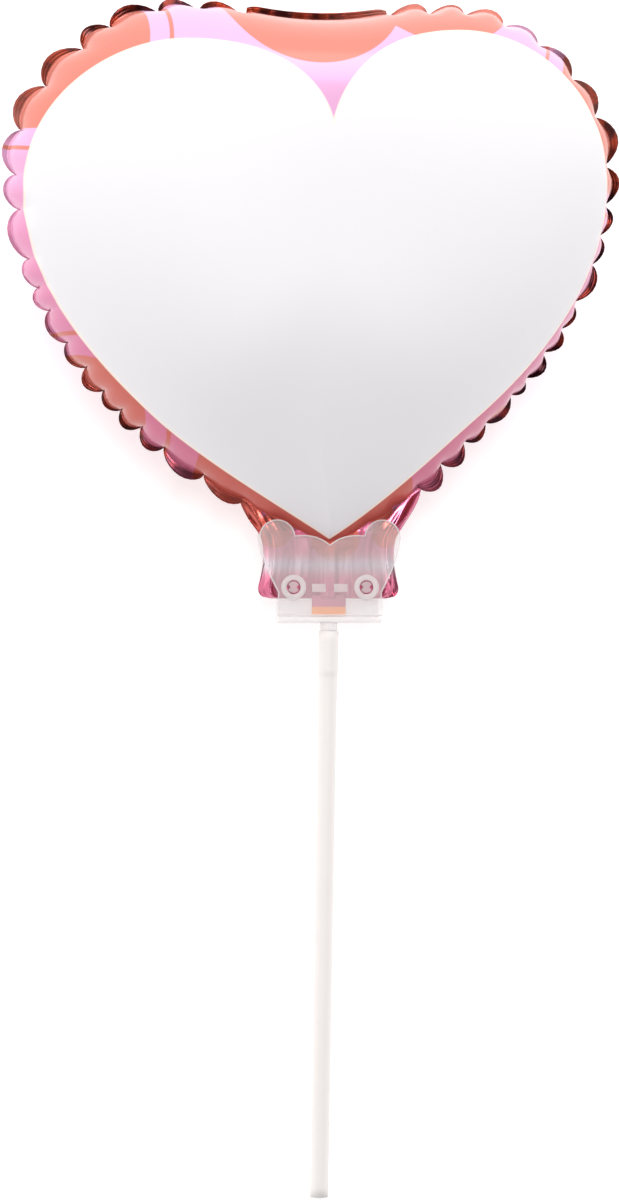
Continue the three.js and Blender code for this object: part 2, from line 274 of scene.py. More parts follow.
# %% [markdown]
# ## The weld line
#
# The two films are welded along a heart. Half of it is three Bezier curves: a shallow notch, a
# round lobe and a long side to the tip. Everything on the rim is measured along this line, so the
# curve is stored by its own length.

# %% Half of the heart's weld line
HALF_WIDTH = 89.2
WIDEST_Y = 132.0
HEART_TOP = 180.5
LOBE_X = 40.0
NOTCH_DROP = 4.0
TIP_Y = 23.0
SIDE_PULL = 42.0
TIP_PULL = (54.0, 47.0)
ROUND = 0.5
NOTCH_PULL, LOBE_PULL = 0.4, 0.55


def bezier(p0, p1, p2, p3, steps=120):
    """Points of a cubic Bezier: the four control points weighted by the Bernstein cubics."""
    t = np.linspace(0, 1, steps)[:, None]
    p0, p1, p2, p3 = (np.asarray(p, float) for p in (p0, p1, p2, p3))
    return (1 - t) ** 3 * p0 + 3 * t * (1 - t) ** 2 * p1 + 3 * t**2 * (1 - t) * p2 + t**3 * p3


def chain(*curves):
    """Curves end to end, without repeating the points where they meet."""
    return np.concatenate([curves[0]] + [curve[1:] for curve in curves[1:]])


notch_y = HEART_TOP - NOTCH_DROP
weld_half = chain(
    bezier(
        (0, notch_y),
        (LOBE_X * NOTCH_PULL, notch_y),
        (LOBE_X * LOBE_PULL, HEART_TOP),
        (LOBE_X, HEART_TOP),
    ),
    bezier(
        (LOBE_X, HEART_TOP),
        (LOBE_X + ROUND * (HALF_WIDTH - LOBE_X), HEART_TOP),
        (HALF_WIDTH, WIDEST_Y + ROUND * (HEART_TOP - WIDEST_Y)),
        (HALF_WIDTH, WIDEST_Y),
    ),
    bezier((HALF_WIDTH, WIDEST_Y), (HALF_WIDTH, WIDEST_Y - SIDE_PULL), TIP_PULL, (0, TIP_Y)),
)
weld_steps = np.hypot(*np.diff(weld_half, axis=0).T)
weld_length = weld_steps.sum()
weld_share = np.concatenate([[0], np.cumsum(weld_steps)]) / weld_length
print("half weld line, mm:", round(weld_length, 1))

# %% [markdown]
# ## Puckers
#
# When a flat heart is filled, its rim grows shorter and the spare film gathers in puckers: sharp
# creases with round lobes between. Their spacing isn't even. It is walked along the weld line, a
# pitch at a time, closer together low on the heart, with a small repeatable unevenness.

# %% Creases along the rim
NOTCH_HALF = 22.0
PITCH_WIDE = 13.2
PITCH_DIP = 5.0
DIP_AT = 0.66
DIP_SPAN = 0.14
PITCH_JITTER = 0.25
CREASE_DEPTH = 2.4
CREASE_JITTER = 0.35
LEFT_SEED, RIGHT_SEED = 1191, 579
WAVE_STEP, WAVE_SEED, WAVE_SIZE = 12.9898, 78.233, 43758.5453


def jitter(index, seed):
    """A repeatable number from -1 to 1: the fraction of a large sine, stretched."""
    wave = np.sin(np.asarray(index) * WAVE_STEP + seed * WAVE_SEED) * WAVE_SIZE
    return 2 * (wave - np.floor(wave)) - 1


def crease_shares(seed):
    """Creases of one side as shares of the half weld line, from the notch to the tip."""
    start = NOTCH_HALF / weld_length
    shares = [start]
    while shares[-1] < 1:
        close = math.exp(-(((shares[-1] - DIP_AT) / DIP_SPAN) ** 2))
        pitch = (PITCH_WIDE - PITCH_DIP * close) * (1 + PITCH_JITTER * jitter(len(shares), seed))
        shares.append(shares[-1] + pitch / weld_length)
    shares = np.array(shares)
    return start + (shares - start) * (1 - start) / (shares[-1] - start)


print("creases, left and right:", [len(crease_shares(seed)) for seed in (LEFT_SEED, RIGHT_SEED)])

# %% [markdown]
# ## Columns of the skin
#
# The skin is a grid. Its columns run from the middle of the heart out to the rim, twelve to each
# lobe and closer together at the creases. For each column this cell keeps where it meets the weld
# line, how deep the crease beside it is, how wide the weld flange is there and which lobe it is.

# %% Columns round the rim
PER_LOBE = 12
NOTCH_COLUMNS = 14
FLANGE_RATIO, FLANGE_JITTER = 0.23, 0.25
FLANGE_LEAST = 0.5
FLANGE_NOTCH = 2.5


def side_columns(seed, mirror):
    """Columns of one side from the notch to the tip; phase is 0 and 1 at the creases."""
    creases = crease_shares(seed)
    lobes = len(creases) - 1
    depth = CREASE_DEPTH * (1 + CREASE_JITTER * jitter(np.arange(lobes + 1), seed + 5))
    even = np.arange(PER_LOBE) / PER_LOBE
    phase = np.tile(0.5 - 0.5 * np.cos(np.pi * even), lobes)
    lobe = np.repeat(np.arange(lobes), PER_LOBE)
    share = creases[lobe] + phase * np.diff(creases)[lobe]
    uneven = 1 + FLANGE_JITTER * jitter(lobe, seed + 7)
    moon = FLANGE_RATIO * uneven * np.diff(creases)[lobe] * weld_length
    notch = np.arange(NOTCH_COLUMNS) / NOTCH_COLUMNS * creases[0]
    plain = np.zeros(NOTCH_COLUMNS)
    share = np.concatenate([notch, share])
    return {
        "x": mirror * np.interp(share, weld_share, weld_half[:, 0]),
        "y": np.interp(share, weld_share, weld_half[:, 1]),
        "phase": np.concatenate([plain + 0.5, phase]),
        "depth": np.concatenate([plain, np.where(phase < 0.5, depth[lobe], depth[lobe + 1])]),
        "flange": np.concatenate([plain + FLANGE_NOTCH, moon]),
        "lobe": np.concatenate([plain + seed * 100, seed * 100 + 1 + lobe]),
        "along": share * weld_length * mirror,
    }


def rim_columns():
    """Left side down, the tip, right side up: once round, anticlockwise from the front."""
    left, right = side_columns(LEFT_SEED, -1), side_columns(RIGHT_SEED, 1)
    tip = {"x": 0, "y": TIP_Y, "phase": 0, "lobe": 0, "along": 0}
    tip |= {"depth": CREASE_DEPTH, "flange": FLANGE_LEAST}
    return {key: np.concatenate([left[key], [tip[key]], right[key][:0:-1]]) for key in left}


rim = rim_columns()
print("columns:", len(rim["x"]))

# %% [markdown]
# ## The inflated skin
#
# Two flat films filled with air take a known section: flat near the middle and steeper and steeper
# to the rim. With an angle tau from 0 in the middle to a quarter turn at the weld, the share of the
# way out is sin(tau) to the power 2/3 and the height is cos(tau). Rings are round near the middle
# and turn into the heart's outline. At the tip the film closes as a cone. Creases press the skin in
# along its normal: sharp at the rim, wide and shallow further in, gone near the printed panel. On
# the sides that the photograph shows lit, the lobes bulge a little further out.

# %% Skin of one face
MIDDLE_R = 74.0
EDGE_POWER, TIP_POWER, TIP_SPREAD = 0.5, 1.0, 0.42
CREASE_START, START_JITTER = 1.22, 0.03
LOBE_SHARP, LOBE_SOFT = 0.6, 2.2
LOBE_SWELL = 0.5
FINE_FOLDS, FINE_DEPTH = 3, 0.16
SEAM_WAVE = 0.9
FILM_THICK = 0.24
HEART_SHIFT, SHIFT_FULL_Y = -7.0, 60.0
HEART_LEAN = math.radians(1.2)
TIP_CALM = 0.75
LIT_WAYS = (((-1.0, 0.0), 0.42), ((0.55, 0.83), 0.36))
BULGE = 1.3
LIT_CREASE = 0.5
QUARTER = math.pi / 2

reach = np.stack([rim["x"], rim["y"] - THICKEST_Y], axis=1)
reach_length = np.hypot(*reach.T)
out = reach / reach_length[:, None]
near_tip = np.exp(-((np.arccos(np.clip(-out[:, 1], -1, 1)) / TIP_SPREAD) ** 2))
lit_angles = [np.arccos(np.clip(out @ np.array(way), -1, 1)) / spread for way, spread in LIT_WAYS]
lit = np.max(np.exp(-(np.array(lit_angles) ** 2)), axis=0)
bulge = BULGE * lit * (rim["depth"] > 0) * (1 - near_tip)
crease_depth = rim["depth"] * (1 - TIP_CALM * near_tip)
seam_lift = SEAM_WAVE * jitter(rim["lobe"], 3) * np.sin(np.pi * rim["phase"]) * (1 - near_tip)


def sideways(y):
    """How far the heart stands off the stick's line: a shift eased in above the tip, and a lean."""
    t = np.clip((y - TIP_Y) / (SHIFT_FULL_Y - TIP_Y), 0, 1)
    return HEART_SHIFT * t * t * (3 - 2 * t) + np.maximum(y - TIP_Y, 0) * math.tan(HEART_LEAN)


def skin_face(taus, face):
    """Grid of skin points, rings by columns, on the front (face 1) or the back (face -1)."""
    tau = taus[:, None]
    s, c = np.sin(tau), np.maximum(np.cos(tau), 1e-6)
    power = EDGE_POWER + (TIP_POWER - EDGE_POWER) * near_tip[None, :]
    share = s ** (2 / 3)
    heart = (reach_length - MIDDLE_R) * share**3
    radius = share * (MIDDLE_R + heart)
    height = HALF_THICK * c ** (2 * power)
    steep = 2 * power * HALF_THICK * c ** (2 * power - 1) * s
    level = (MIDDLE_R + 4 * heart) * (2 / 3) * np.maximum(s, 1e-3) ** (-1 / 3) * c
    size = np.hypot(steep, level)
    start = CREASE_START + START_JITTER * jitter(rim["lobe"] + (rim["phase"] > 0.5), 9)
    fade = np.clip((tau - start) / (QUARTER - start), 0, 1)
    arch = np.sin(np.pi * rim["phase"])
    rounded = arch ** (LOBE_SOFT + (LOBE_SHARP - LOBE_SOFT) * fade)
    valley = crease_depth * (1 - rounded) - bulge * rounded
    fine = FINE_DEPTH * arch * np.cos(2 * np.pi * FINE_FOLDS * rim["phase"] + rim["lobe"])
    swell = LOBE_SWELL * arch * (rim["depth"] > 0)
    press = (valley - swell * (1 - fade)) * fade ** (1.5 - LIT_CREASE * lit) + fine * fade**3
    radius = radius - press * steep / size
    height = np.maximum(height - press * level / size, FILM_THICK / 2)
    z = face * height + seam_lift * fade**3
    return np.stack([out[:, 0] * radius, THICKEST_Y + out[:, 1] * radius, z], axis=-1)


print("height in the middle, mm:", skin_face(np.array([0.01]), 1)[0, 0, 2].round(2))

# %% [markdown]
# ## The weld flange
#
# Outside the weld a narrow margin of film is left over. Between creases it stands out as half
# moons, each tipped its own way, so each mirrors another part of the room. Where a lobe bulges, it
# covers part of its moon. The heated jaws press fine ribs into the margin, and those are real steps
# in the mesh here, because they catch the light.

# %% Flange rings
FLANGE_STEPS = 9
FLANGE_DROOP, DROOP_JITTER = 0.24, 0.34
LIT_DROOP = 0.72
NOTCH_TAPER = 5.0
RIB_HEIGHT, RIBS = 0.09, 3
CRIMP_HEIGHT, CRIMP_PITCH = 0.1, 2.3


def flange_width():
    """Half moons: the lobe's share of its length times an arch; a straight strip at the notch."""
    arch = np.sin(np.pi * rim["phase"]) ** LOBE_SHARP
    ends = np.clip((NOTCH_HALF - np.abs(rim["along"])) / NOTCH_TAPER, 0, 1)
    arch = np.where(rim["depth"] > 0, arch, ends * (2 - ends))
    return FLANGE_LEAST + (rim["flange"] - FLANGE_LEAST) * arch


def flange_face(shares, face):
    """Grid of flange points from the weld (share 0) to the edge (share 1)."""
    v = shares[:, None]
    arch = np.sin(np.pi * rim["phase"]) ** LOBE_SHARP
    weld = reach_length - crease_depth * (1 - arch) + bulge * arch
    width = np.maximum(flange_width() - bulge * arch, FLANGE_LEAST)
    own = FLANGE_DROOP + DROOP_JITTER * jitter(rim["lobe"], 4)
    droop = (own + (LIT_DROOP - own) * lit) * (1 - near_tip)
    radius = weld + v * width * np.cos(droop)
    ribs = RIB_HEIGHT * np.sin(2 * np.pi * RIBS * v) * (1 - near_tip)
    crimp = CRIMP_HEIGHT * v * np.sin(2 * np.pi * rim["along"] / CRIMP_PITCH) * (1 - near_tip)
    z = face * FILM_THICK / 2 + seam_lift - v * width * np.sin(droop) + ribs + crimp
    return np.stack([out[:, 0] * radius, THICKEST_Y + out[:, 1] * radius, z], axis=-1)


print("flange, mm:", flange_width().min().round(2), "to", flange_width().max().round(2))

# %% [markdown]
# ## The heart as one closed mesh
#
# The rings go from the front pole over the rim to the back pole, so front, flange and back are one
# closed skin with no seam to hide. Rings are closer together near the rim, where the puckers are.
# Where the back would sink into the floor it is pressed flat, as the real one is when it lies.

# %% Heart points and faces
FACE_RINGS = 76
EVEN_SHARE = 0.62
# How fast the painted shade rises across the flange, and how much less of it the lit sides get.
FLANGE_SHADE_RISE, LIT_SHADE_CUT = 0.25, 0.75


def ring_angles():
    """Angles from the pole to the weld, closer together towards the weld."""
    t = np.arange(1, FACE_RINGS + 1) / FACE_RINGS
    return QUARTER * (EVEN_SHARE * t + (1 - EVEN_SHARE) * (1 - (1 - t) ** 2))


def heart_mesh():
    """Points and faces of the heart, which points are on the front, and each point's share of painted
    flange shade.
    """
    taus = ring_angles()
    edge = np.linspace(0, 1, FLANGE_STEPS)[1:]
    grid = np.concatenate([
        skin_face(taus, 1), flange_face(edge, 1), flange_face(edge[::-1], -1), skin_face(taus[::-1], -1),
    ])
    rings, columns = grid.shape[:2]
    pole_points = [[0, THICKEST_Y, HALF_THICK], [0, THICKEST_Y, -HALF_THICK]]
    points = np.concatenate([grid.reshape(-1, 3), pole_points])
    points[:, 0] += sideways(points[:, 1])
    last = (rings - 1) * columns
    poles = rings * columns
    faces = [
        *band_faces(rings, columns).tolist(),
        *fan_faces(poles, 0, columns).tolist(),
        *fan_faces(poles + 1, last, columns, flip=True).tolist(),
    ]
    face = np.zeros(FACE_RINGS)
    flange = np.concatenate([face, edge, edge[::-1], face])[:, None]
    # Painted shade and painted glints on the flange: a share that rises outward over the flange, smaller
    # on the lit sides and at the tip.
    flange_shade_share = np.minimum(flange / FLANGE_SHADE_RISE, 1) * (1 - LIT_SHADE_CUT * lit) * (1 - near_tip)
    front = np.repeat(np.arange(rings) < rings / 2, columns)
    return points, faces, np.append(front, [True, False]), np.append(flange_shade_share.ravel(), [0, 0])


def rest_on_floor(points):
    """Lift points that would be under the floor up to it, along the balloon's own z."""
    depth = (points @ TURN.T + PLACE)[:, 2]
    lifted = points.copy()
    lifted[:, 2] += np.maximum(-depth, 0) / cos_tilt
    return lifted


heart_points, heart_faces, heart_front, heart_flange_shade = heart_mesh()
heart_points = rest_on_floor(heart_points)
print("heart:", len(heart_points), "points,", len(heart_faces), "faces")

# %% [markdown]
# ## The print
#
# The front carries a blank white heart inside a pink border with salmon discs and thin rings, a
# plain party pattern. It is only ink, so it isn't modelled. Each point of the mesh stores how far
# it lies inside the white heart and inside a disc, in millimetres, and the material turns those
# distances into crisp edges. The film stretches with the skin, and so the ink follows it.

# %% Distances to the printed shapes
PANEL_NOTCH_Y, PANEL_LOBE_X, PANEL_TIP_Y = 142.2, 42.0, 25.2
PANEL_HALF, PANEL_WIDEST_Y = 85.6, 127.0
PANEL_TOPS = {-1: 168.0, 1: 172.0}
PANEL_SHOULDERS = {-1: 152.0, 1: 157.0}
NOTCH_STEEP, NOTCH_ROUND, LOBE_ROUND = (1.4, 151.0), 10.0, 62.0
SIDE_LOW_Y, TIP_OPEN = 86.6, (42.0, 52.5)
HEART_DISCS = np.array([
    (-80, 172, 29), (-3, 189, 28), (36, 194, 26), (98, 152, 28),
    (-72, 55, 23), (-5, 38, 32), (66, 50, 11),
])
TAIL_DISCS = np.array([(-27, 33, 8), (2, 25, 7), (-16, 27, 5), (17, 26, 4)])
HEART_RINGS = np.array([(-80, 172, 35), (98, 152, 34), (-72, 55, 29), (66, 50, 16)])
TAIL_RINGS = np.array([(-27, 33, 11)])
RING_WIDE = 1.2
FAR_OUTSIDE = -60.0
BLOCK = 4096


def panel_side(side):
    """One half of the white heart, notch to lobe to tip; the right lobe is higher."""
    top = PANEL_TOPS[side]
    widest = (PANEL_HALF, PANEL_WIDEST_Y)
    half = chain(
        bezier((0, PANEL_NOTCH_Y), NOTCH_STEEP, (NOTCH_ROUND, top), (PANEL_LOBE_X, top)),
        bezier((PANEL_LOBE_X, top), (LOBE_ROUND, top), (PANEL_HALF, PANEL_SHOULDERS[side]), widest),
        bezier(widest, (PANEL_HALF, SIDE_LOW_Y), TIP_OPEN, (0, PANEL_TIP_Y)),
    )
    return half * [side, 1]


panel = np.concatenate([panel_side(1), panel_side(-1)[-2:0:-1]])


def inside_distance(points, outline):
    """Distance to a closed outline, positive inside: nearest segment, sign by counting crossings."""
    a, b = outline, np.roll(outline, -1, axis=0)
    step = b - a
    result = np.empty(len(points))
    for low in range(0, len(points), BLOCK):
        p = points[low : low + BLOCK, None, :]
        t = np.clip(((p - a) * step).sum(-1) / (step**2).sum(-1), 0, 1)
        gap = np.hypot(*np.moveaxis(p - a - t[..., None] * step, -1, 0))
        over = (a[:, 1] > p[..., 1]) != (b[:, 1] > p[..., 1])
        rise = np.where(step[:, 1] == 0, 1e-9, step[:, 1])
        left = p[..., 0] < a[:, 0] + (p[..., 1] - a[:, 1]) * step[:, 0] / rise
        inside = (over & left).sum(-1) % 2 == 1
        result[low : low + BLOCK] = np.where(inside, 1, -1) * gap.min(-1)
    return result


def print_fields(points, front, discs, rings):
    """Distances inside the white heart (front only), inside the discs, off the nearest ring."""
    flat = points[:, :2] - np.stack([sideways(points[:, 1]), np.zeros(len(points))], axis=1)
    white = np.where(front, inside_distance(flat, panel), FAR_OUTSIDE)
    disc = (discs[:, 2] - np.hypot(flat[:, None, 0] - discs[:, 0], flat[:, None, 1] - discs[:, 1])).max(-1)
    off_ring = np.hypot(flat[:, None, 0] - rings[:, 0], flat[:, None, 1] - rings[:, 1]) - rings[:, 2]
    nearest = np.abs(off_ring).argmin(-1)[:, None]
    ring = np.take_along_axis(off_ring, nearest, 1)[:, 0]
    return {"white_heart": white, "salmon": disc, "ring": ring}


def store_fields(piece, fields):
    """Write each field as a number on every point of the piece's mesh."""
    for name, values in fields.items():
        attribute = piece.data.attributes.new(name, "FLOAT", "POINT")
        attribute.data.foreach_set("value", np.ascontiguousarray(values, np.float32))


heart_fields = print_fields(heart_points, heart_front, HEART_DISCS, HEART_RINGS)
print("white share of the points:", round(float((heart_fields["white_heart"] > 0).mean()), 3))

# %% [markdown]
# ## Printed metal film
#
# The film is plastic with a thin layer of metal under the ink. On the front the inks are nearly
# opaque: a glossy pink and salmon border and a dull white heart. The flange, the tail and the back
# mirror the room. So a stored share of mirror drives the metal, and the heart's mask drives colour
# and roughness. A faint bump keeps the mirror from being perfect. Light and shade are painted into
# the colour too: the border is lighter towards the top and darker towards the bottom, and the flange
# gets painted maroon shade with painted copper glints, less on the sides that are lit.

# %% Film material
PINK = srgb(236, 158, 198)
# A lighter pink for the top of the border: painted light where the top lamp falls.
PAINTED_TOP_LIGHT_PINK = srgb(241, 182, 223)
SALMON = srgb(226, 134, 119)
# A darker tone multiplied into the lower border: painted shade where the film turns away from the light.
PAINTED_LOW_SHADE = srgb(220, 176, 176)
CREAM = srgb(252, 238, 226)
WHITE_INK = srgb(240, 237, 240)
GOLD = srgb(250, 158, 72)
BARE_METAL = srgb(205, 200, 208)
# Painted copper glints and painted maroon shade for the flange, mottled together.
PAINTED_COPPER_GLINT = srgb(150, 86, 54)
PAINTED_MAROON_SHADE = srgb(58, 22, 28)
EDGE_SOFT = 0.18
CREAM_WIDE = 0.5
BACK_MIRROR = 0.7
# Heights in metres over which the painted shade at the bottom of the heart fades out.
LOW_SHADE_FROM, LOW_SHADE_TO = 0.03, 0.13
# Heights in metres over which the painted light at the top of the border comes in.
TOP_LIGHT_FROM, TOP_LIGHT_TO = 0.1, 0.14
RIPPLE = {"Scale": 160.0, "Detail": 3.0}
# Noise that mottles the flange's painted glints and painted shade.
GLINT_MOTTLE = {"Scale": 220.0, "Detail": 4.0}
GLINT_FROM, GLINT_TO = 0.4, 0.6
RIPPLE_BUMP = {"Strength": 0.1, "Distance": 0.0004}
METAL_ROUGH, PRESSED_ROUGH, INK_ROUGH = (0.18, 0.3), 0.55, (0.42, 0.54)
INK_METAL, MIRROR_METAL = 0.15, 0.85
FILM_COAT, COAT_ROUGH, FILM_SPECULAR = 0.15, 0.12, 0.2


def film_material():
    """Masks from the stored distances and shares, with painted light, shade and glints, then one metal and
    ink shader.
    """
    material, tree, shader = new_material("printed_film")

    def field(name):
        return add_node(tree, "ShaderNodeAttribute", attribute_name=name).outputs["Fac"]

    white = ramp_mask(tree, field("white_heart"), -EDGE_SOFT, EDGE_SOFT)
    ink = ramp_mask(tree, field("white_heart"), -CREAM_WIDE - EDGE_SOFT, -CREAM_WIDE + EDGE_SOFT)
    disc = ramp_mask(tree, field("salmon"), -EDGE_SOFT, EDGE_SOFT)
    off = add_node(tree, "ShaderNodeMath", {0: field("ring")}, operation="ABSOLUTE").outputs["Value"]
    line = ramp_mask(tree, off, RING_WIDE / 2 + EDGE_SOFT, RING_WIDE / 2 - EDGE_SOFT)
    salmon = add_node(tree, "ShaderNodeMath", {0: disc, 1: line}, operation="MAXIMUM").outputs["Value"]
    where = add_node(tree, "ShaderNodeTexCoord").outputs["Object"]
    ripple = add_node(tree, "ShaderNodeTexNoise", {"Vector": where, **RIPPLE}).outputs["Fac"]
    glint_mottle = add_node(tree, "ShaderNodeTexNoise", {"Vector": where, **GLINT_MOTTLE}).outputs["Fac"]
    # Painted reflection on the flange: copper glints mottled with maroon shade.
    flange_shade = mix_colour(tree, ramp_mask(tree, glint_mottle, GLINT_FROM, GLINT_TO), PAINTED_COPPER_GLINT, PAINTED_MAROON_SHADE)
    up = add_node(tree, "ShaderNodeSeparateXYZ", {"Vector": where}).outputs["Y"]
    # Painted light: the pink border turns lighter towards the top of the heart.
    pink = mix_colour(tree, ramp_mask(tree, up, TOP_LIGHT_FROM, TOP_LIGHT_TO), PINK, PAINTED_TOP_LIGHT_PINK)
    colour = mix_colour(tree, salmon, pink, SALMON)
    # Painted shade: the ink grows darker towards the bottom of the heart.
    colour = mix_colour(tree, ramp_mask(tree, up, LOW_SHADE_TO, LOW_SHADE_FROM), colour, PAINTED_LOW_SHADE, "MULTIPLY")
    # Painted shade and glints multiplied onto the flange by its stored share.
    colour = mix_colour(tree, field("flange_shade"), colour, flange_shade, "MULTIPLY")
    colour = mix_colour(tree, field("bare_metal"), colour, BARE_METAL)
    colour = mix_colour(tree, field("gold_end"), colour, GOLD)
    colour = mix_colour(tree, ink, colour, CREAM)
    colour = mix_colour(tree, white, colour, WHITE_INK)
    bump = add_node(tree, "ShaderNodeBump", {"Height": ripple, **RIPPLE_BUMP})
    loose_rough = mix_value(tree, ripple, *METAL_ROUGH)
    metal_rough = mix_value(tree, field("pressed"), loose_rough, PRESSED_ROUGH)
    ink_rough = mix_value(tree, ripple, *INK_ROUGH)
    set_input(tree, shader, "Base Color", colour)
    metal = mix_value(tree, field("mirror"), INK_METAL, MIRROR_METAL)
    bare = add_node(tree, "ShaderNodeMath", {0: metal, 1: ink}, operation="SUBTRACT", use_clamp=True)
    set_input(tree, shader, "Metallic", bare.outputs["Value"])
    set_input(tree, shader, "Roughness", mix_value(tree, ink, metal_rough, ink_rough))
    set_input(tree, shader, "Coat Weight", mix_value(tree, ink, FILM_COAT, 0.0))
    shader.inputs["Specular IOR Level"].default_value = FILM_SPECULAR
    set_input(tree, shader, "Normal", bump.outputs["Normal"])
    shader.inputs["Coat Roughness"].default_value = COAT_ROUGH
    return material


film = film_material()
heart = add_piece("balloon_heart", heart_points, heart_faces, film, "foil_balloon", "printed_foil")
nothing = np.zeros(len(heart_points))
# Stored with the print: the share of painted flange shade, which on the front also sets how much the film
# mirrors.
store_fields(heart, {
    **heart_fields, "flange_shade": heart_flange_shade, "gold_end": nothing, "bare_metal": nothing,
    "mirror": np.where(heart_front, heart_flange_shade, BACK_MIRROR), "pressed": nothing,
})

# %% [markdown]
# ## The clip's outline
#
# The tail has to stay between the clip's two plates, so their outline comes first: a straight foot,
# two round ears, and a V between two humps. Only the right half is drawn; the left is its mirror.

# %% Outline of the plates
CLIP_HALF = 15.4
CLIP_LOW_TOP = 9.0
EAR_X, EAR_Y, EAR_R = 15.6, 25.0, 5.4
EAR_OUTER, EAR_INNER = math.radians(-15), math.radians(172.6)
CLIP_SIDE_PULL, CLIP_V_Y, CLIP_HUMP_PULL = (20.0, 17.5), 23.0, (4.0, 26.5)


def arc(cx, cy, radius, start, end, steps=24):
    """Points of a circular arc."""
    angle = np.linspace(start, end, steps)
    return np.stack([cx + radius * np.cos(angle), cy + radius * np.sin(angle)], axis=1)


def bend(p0, p1, p2, steps=16):
    """Points of a quadratic Bezier: two straight blends, blended."""
    t = np.linspace(0, 1, steps)[:, None]
    p0, p1, p2 = (np.asarray(p, float) for p in (p0, p1, p2))
    return (1 - t) ** 2 * p0 + 2 * t * (1 - t) * p1 + t**2 * p2


def clip_outline(foot):
    """Right half of the clip from its foot to the V, and its mirror image."""
    ear = arc(EAR_X, EAR_Y, EAR_R, EAR_OUTER, EAR_INNER)
    side = bend((CLIP_HALF, CLIP_LOW_TOP), CLIP_SIDE_PULL, ear[0])
    hump = bend(ear[-1], CLIP_HUMP_PULL, (0, CLIP_V_Y))
    half = np.concatenate([[[CLIP_HALF, foot]], side, ear[1:], hump[1:]])
    return np.concatenate([half, (half * [-1, 1])[-2::-1]])


print("clip outline points:", len(clip_outline(PLATE_FOOT)))

# %% [markdown]
# ## Tail and filling neck
#
# Below the tip the two films run on as a flat tail, which the clip bites. The gathered film stands
# in upright pleats. They are low between the plates and open out in the two skirts beside the
# clip. The neck that the balloon was filled through ends just above the base bar, in gold.

# %% Tail sheet
TAIL_ROWS, TAIL_COLUMNS = 70, 180
TAIL_THICK = 0.3
TAIL_TOP_Y, TAIL_HEM_Y = 40.0, 7.2
PLEAT_HEIGHT, SKIRT_OPEN, TAIL_FADE, LOOSE_REACH = 0.58, 1.5, 4.0, 4.0
PLEATS = ((15, 1.7, 0, 1.0), (34, -2.1, 1, 0.45), (61, 3, 0, 0.2))
NECK_HALF, NECK_END, GOLD_LENGTH = 5.0, 2.3, 2.4
NECK_GRID, NECK_TUCK, NECK_BOW = 24, 1.0, 0.25
PRESS_MARGIN, PRESS_FADE, PRESS_TOP_Y = 2.0, 3.0, 27.0
BARE_Y, BARE_WIDE, BARE_SHARE = 17.0, 2.6, 0.8

tail_side = chain(
    bezier((27.5, TAIL_TOP_Y), (27, 34), (22, 29), (20, 25)),
    bezier((20, 25), (18.6, 21.5), (19.6, 15), (20.7, 10.8)),
    bezier((20.7, 10.8), (21, 8.2), (19.6, 7.3), (17, TAIL_HEM_Y)),
)
weld_outline = np.concatenate([weld_half, (weld_half * [-1, 1])[-2:0:-1]])


def sheet_part(x, y, z, thick):
    """A thin closed sheet over a grid: the same grid lifted and lowered, and a rim between them."""
    top = np.stack([x, y, z + thick / 2], axis=-1)
    low = np.stack([x, y, z - thick / 2], axis=-1)
    rows, columns = x.shape
    count = rows * columns
    index = np.arange(count).reshape(rows, columns)
    edge = np.concatenate([index[0, :], index[1:, -1], index[-1, -2::-1], index[-2:0:-1, 0]])
    following = np.roll(edge, -1)
    faces = [
        *band_faces(rows, columns, 0, False).tolist(),
        *band_faces(rows, columns, count, False)[:, ::-1].tolist(),
        *np.stack([edge, following, following + count, edge + count], axis=-1).tolist(),
    ]
    return np.concatenate([top.reshape(-1, 3), low.reshape(-1, 3)]), faces


def tail_part():
    """Pleats: a sum of sines across the tail, flat at the heart, low in the clip, open in the skirts."""
    u = np.linspace(-1, 1, TAIL_COLUMNS)[None, :]
    v = np.linspace(0, 1, TAIL_ROWS)[:, None]
    y = TAIL_TOP_Y + (TAIL_HEM_Y - TAIL_TOP_Y) * v + 0 * u
    x = u * np.interp(-y, -tail_side[:, 1], tail_side[:, 0])
    pleat = sum(high * np.sin(across * u + down * v + start) for across, down, start, high in PLEATS)
    past_clip = -inside_distance(np.stack([x, y], axis=-1).reshape(-1, 2), clip_outline(PLATE_FOOT))
    loose = np.clip(past_clip / LOOSE_REACH, 0, 1).reshape(y.shape)
    flat = np.stack([x - sideways(y), y], axis=-1).reshape(-1, 2)
    below = np.clip(-inside_distance(flat, weld_outline) / TAIL_FADE, 0, 1).reshape(y.shape)
    z = pleat * below * (PLEAT_HEIGHT + SKIRT_OPEN * loose * np.abs(u))
    return sheet_part(x, y, z, TAIL_THICK)


def neck_part():
    """A small flat tube end, slightly bowed across."""
    u = np.linspace(-1, 1, NECK_GRID)[None, :]
    v = np.linspace(0, 1, NECK_GRID)[:, None]
    top = TAIL_HEM_Y + NECK_TUCK
    y = top + (NECK_END - top) * v + 0 * u
    return sheet_part(u * NECK_HALF + 0 * v, y, NECK_BOW * np.cos(np.pi * u / 2) + 0 * v, TAIL_THICK)


